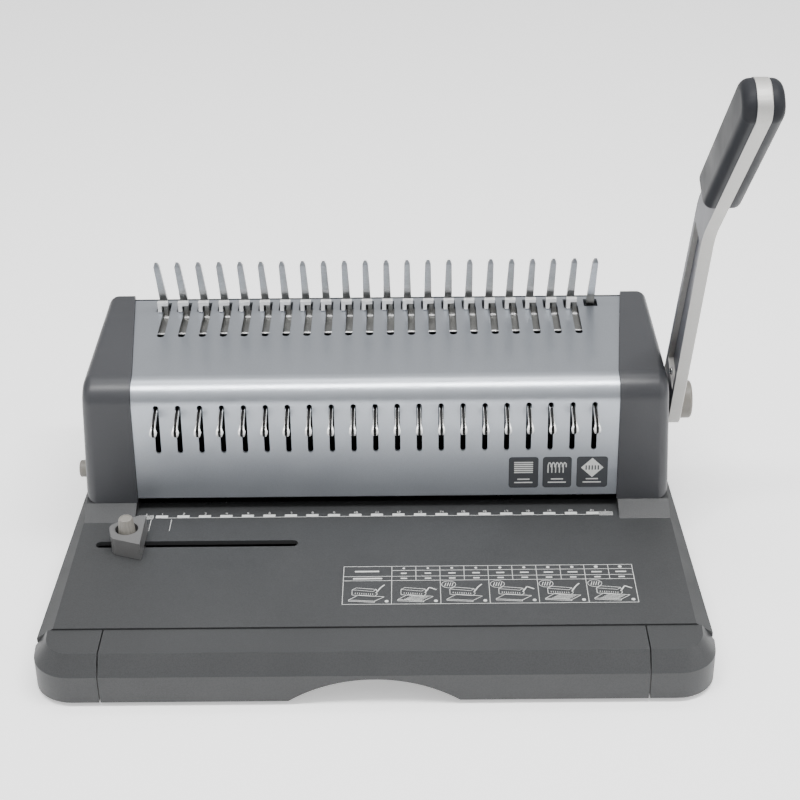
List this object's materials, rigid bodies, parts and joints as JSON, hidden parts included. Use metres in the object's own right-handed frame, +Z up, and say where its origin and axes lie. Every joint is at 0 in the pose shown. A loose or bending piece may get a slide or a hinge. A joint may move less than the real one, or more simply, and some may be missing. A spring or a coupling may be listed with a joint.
{
  "type": "comb binding machine",
  "caption": "Hand-operated comb binder: a lever punches slots along a sheet edge and draws hooks that open a plastic comb on a row of uprights.",
  "frame": {"origin": "on the floor under the middle of the base, 3 mm below the base's flat underside", "axes": "+X across the machine towards the handle, +Y to the rear, +Z up"},
  "size_m": [0.4182, 0.308, 0.375],
  "materials": {
    "base_plastic": "fine grained moulding",
    "cap_plastic": "fine grained moulding, slightly glossy",
    "silver_paint": "metallic silver paint",
    "arm_paint": "light grey silver paint",
    "grip_plastic": "gloss",
    "guide_plastic": "satin",
    "knob_plastic": "satin",
    "chrome_tab": "polished",
    "bright_steel": "bright plated",
    "finger_steel": "plain steel",
    "zinc_steel": "zinc plated",
    "tool_steel": "ground steel",
    "inner_plastic": "plain",
    "rubber": "matt"
  },
  "bodies": {
    "base": {"base_lower_shell": "base_plastic", "base_table_cover": "base_plastic", "rubber_feet": "rubber", "front_top_cover": "silver_paint", "left_end_cap": "cap_plastic", "right_end_cap": "cap_plastic", "rear_cover": "cap_plastic", "left_side_frame": "zinc_steel", "right_side_frame": "zinc_steel", "comb_uprights": "finger_steel", "slide_rails": "inner_plastic", "stripper_plate": "tool_steel", "die_plate": "tool_steel", "guide_rods": "tool_steel", "return_springs": "tool_steel", "shaft_bushes": "inner_plastic", "frame_screws": "zinc_steel"},
    "handle": {"drive_shaft": "tool_steel", "punch_pinions": "tool_steel", "hook_gears": "tool_steel", "handle_arm": "arm_paint", "grip_inner_cover": "grip_plastic", "grip_outer_cover": "grip_plastic", "handle_spacer": "inner_plastic", "handle_pivot_cap": "knob_plastic"},
    "punch_carriage": {"punch_carrier": "zinc_steel", "punch_pins": "tool_steel", "punch_racks": "tool_steel"},
    "hook_slide": {"hook_slide_plate": "bright_steel", "hook_racks": "tool_steel"},
    "chip_drawer": {"chip_drawer_front": "base_plastic", "chip_drawer_tray": "inner_plastic"},
    "edge_guide_body": {"edge_guide": "guide_plastic", "guide_clamp_plate": "zinc_steel"},
    "guide_knob_body": {"guide_knob": "knob_plastic"},
    "margin_selector": {"margin_knob": "knob_plastic", "margin_shaft": "tool_steel", "paper_stop_flap": "zinc_steel"},
    "pull_tab_01_body": {"pull_tab_01": "chrome_tab"},
    "pull_tab_02_body": {"pull_tab_02": "chrome_tab"},
    "pull_tab_03_body": {"pull_tab_03": "chrome_tab"},
    "pull_tab_04_body": {"pull_tab_04": "chrome_tab"},
    "pull_tab_05_body": {"pull_tab_05": "chrome_tab"},
    "pull_tab_06_body": {"pull_tab_06": "chrome_tab"},
    "pull_tab_07_body": {"pull_tab_07": "chrome_tab"},
    "pull_tab_08_body": {"pull_tab_08": "chrome_tab"},
    "pull_tab_09_body": {"pull_tab_09": "chrome_tab"},
    "pull_tab_10_body": {"pull_tab_10": "chrome_tab"},
    "pull_tab_11_body": {"pull_tab_11": "chrome_tab"},
    "pull_tab_12_body": {"pull_tab_12": "chrome_tab"},
    "pull_tab_13_body": {"pull_tab_13": "chrome_tab"},
    "pull_tab_14_body": {"pull_tab_14": "chrome_tab"},
    "pull_tab_15_body": {"pull_tab_15": "chrome_tab"},
    "pull_tab_16_body": {"pull_tab_16": "chrome_tab"},
    "pull_tab_17_body": {"pull_tab_17": "chrome_tab"},
    "pull_tab_18_body": {"pull_tab_18": "chrome_tab"},
    "pull_tab_19_body": {"pull_tab_19": "chrome_tab"},
    "pull_tab_20_body": {"pull_tab_20": "chrome_tab"},
    "pull_tab_21_body": {"pull_tab_21": "chrome_tab"}
  },
  "joints": [
    {"name": "handle_swing", "type": "hinge", "parent": "base", "child": "handle", "pos_m": [0, 0.059, 0.086], "axis": [1, 0, 0], "range_deg": [0, 64], "stiffness_Nm_per_rad": 0.35, "springref_deg": -171.89},
    {"name": "punch_drive", "type": "slide", "parent": "base", "child": "punch_carriage", "axis": [0, 0, -1], "range_m": [0, 0.0136], "deforming": ["return_springs"]},
    {"name": "hook_drive", "type": "slide", "parent": "base", "child": "hook_slide", "axis": [0, -1, 0], "range_m": [0, 0.0238]},
    {"name": "chip_drawer_slide", "type": "slide", "parent": "base", "child": "chip_drawer", "axis": [0, -1, 0], "range_m": [0, 0.15]},
    {"name": "edge_guide_slide", "type": "slide", "parent": "base", "child": "edge_guide_body", "axis": [1, 0, 0], "range_m": [-0.0075, 0.097]},
    {"name": "guide_knob_turn", "type": "hinge", "parent": "edge_guide_body", "child": "guide_knob_body", "pos_m": [-0.1606, -0.0335, 0.045], "axis": [0, 0, 1], "range_deg": [0, 270]},
    {"name": "margin_select", "type": "hinge", "parent": "base", "child": "margin_selector", "pos_m": [0, 0.036, 0.0493], "axis": [1, 0, 0], "range_deg": [-6, 6]},
    {"name": "pull_tab_01_pull", "type": "slide", "parent": "punch_carriage", "child": "pull_tab_01_body", "axis": [0, -1, 0], "range_m": [0, 0.008]},
    {"name": "pull_tab_02_pull", "type": "slide", "parent": "punch_carriage", "child": "pull_tab_02_body", "axis": [0, -1, 0], "range_m": [0, 0.008]},
    {"name": "pull_tab_03_pull", "type": "slide", "parent": "punch_carriage", "child": "pull_tab_03_body", "axis": [0, -1, 0], "range_m": [0, 0.008]},
    {"name": "pull_tab_04_pull", "type": "slide", "parent": "punch_carriage", "child": "pull_tab_04_body", "axis": [0, -1, 0], "range_m": [0, 0.008]},
    {"name": "pull_tab_05_pull", "type": "slide", "parent": "punch_carriage", "child": "pull_tab_05_body", "axis": [0, -1, 0], "range_m": [0, 0.008]},
    {"name": "pull_tab_06_pull", "type": "slide", "parent": "punch_carriage", "child": "pull_tab_06_body", "axis": [0, -1, 0], "range_m": [0, 0.008]},
    {"name": "pull_tab_07_pull", "type": "slide", "parent": "punch_carriage", "child": "pull_tab_07_body", "axis": [0, -1, 0], "range_m": [0, 0.008]},
    {"name": "pull_tab_08_pull", "type": "slide", "parent": "punch_carriage", "child": "pull_tab_08_body", "axis": [0, -1, 0], "range_m": [0, 0.008]},
    {"name": "pull_tab_09_pull", "type": "slide", "parent": "punch_carriage", "child": "pull_tab_09_body", "axis": [0, -1, 0], "range_m": [0, 0.008]},
    {"name": "pull_tab_10_pull", "type": "slide", "parent": "punch_carriage", "child": "pull_tab_10_body", "axis": [0, -1, 0], "range_m": [0, 0.008]},
    {"name": "pull_tab_11_pull", "type": "slide", "parent": "punch_carriage", "child": "pull_tab_11_body", "axis": [0, -1, 0], "range_m": [0, 0.008]},
    {"name": "pull_tab_12_pull", "type": "slide", "parent": "punch_carriage", "child": "pull_tab_12_body", "axis": [0, -1, 0], "range_m": [0, 0.008]},
    {"name": "pull_tab_13_pull", "type": "slide", "parent": "punch_carriage", "child": "pull_tab_13_body", "axis": [0, -1, 0], "range_m": [0, 0.008]},
    {"name": "pull_tab_14_pull", "type": "slide", "parent": "punch_carriage", "child": "pull_tab_14_body", "axis": [0, -1, 0], "range_m": [0, 0.008]},
    {"name": "pull_tab_15_pull", "type": "slide", "parent": "punch_carriage", "child": "pull_tab_15_body", "axis": [0, -1, 0], "range_m": [0, 0.008]},
    {"name": "pull_tab_16_pull", "type": "slide", "parent": "punch_carriage", "child": "pull_tab_16_body", "axis": [0, -1, 0], "range_m": [0, 0.008]},
    {"name": "pull_tab_17_pull", "type": "slide", "parent": "punch_carriage", "child": "pull_tab_17_body", "axis": [0, -1, 0], "range_m": [0, 0.008]},
    {"name": "pull_tab_18_pull", "type": "slide", "parent": "punch_carriage", "child": "pull_tab_18_body", "axis": [0, -1, 0], "range_m": [0, 0.008]},
    {"name": "pull_tab_19_pull", "type": "slide", "parent": "punch_carriage", "child": "pull_tab_19_body", "axis": [0, -1, 0], "range_m": [0, 0.008]},
    {"name": "pull_tab_20_pull", "type": "slide", "parent": "punch_carriage", "child": "pull_tab_20_body", "axis": [0, -1, 0], "range_m": [0, 0.008]},
    {"name": "pull_tab_21_pull", "type": "slide", "parent": "punch_carriage", "child": "pull_tab_21_body", "axis": [0, -1, 0], "range_m": [0, 0.008]}
  ],
  "couplings": [
    {"joint": "punch_drive", "follows": "handle_swing", "m_per_rad": 0.012},
    {"joint": "hook_drive", "follows": "handle_swing", "m_per_rad": 0.021}
  ]
}
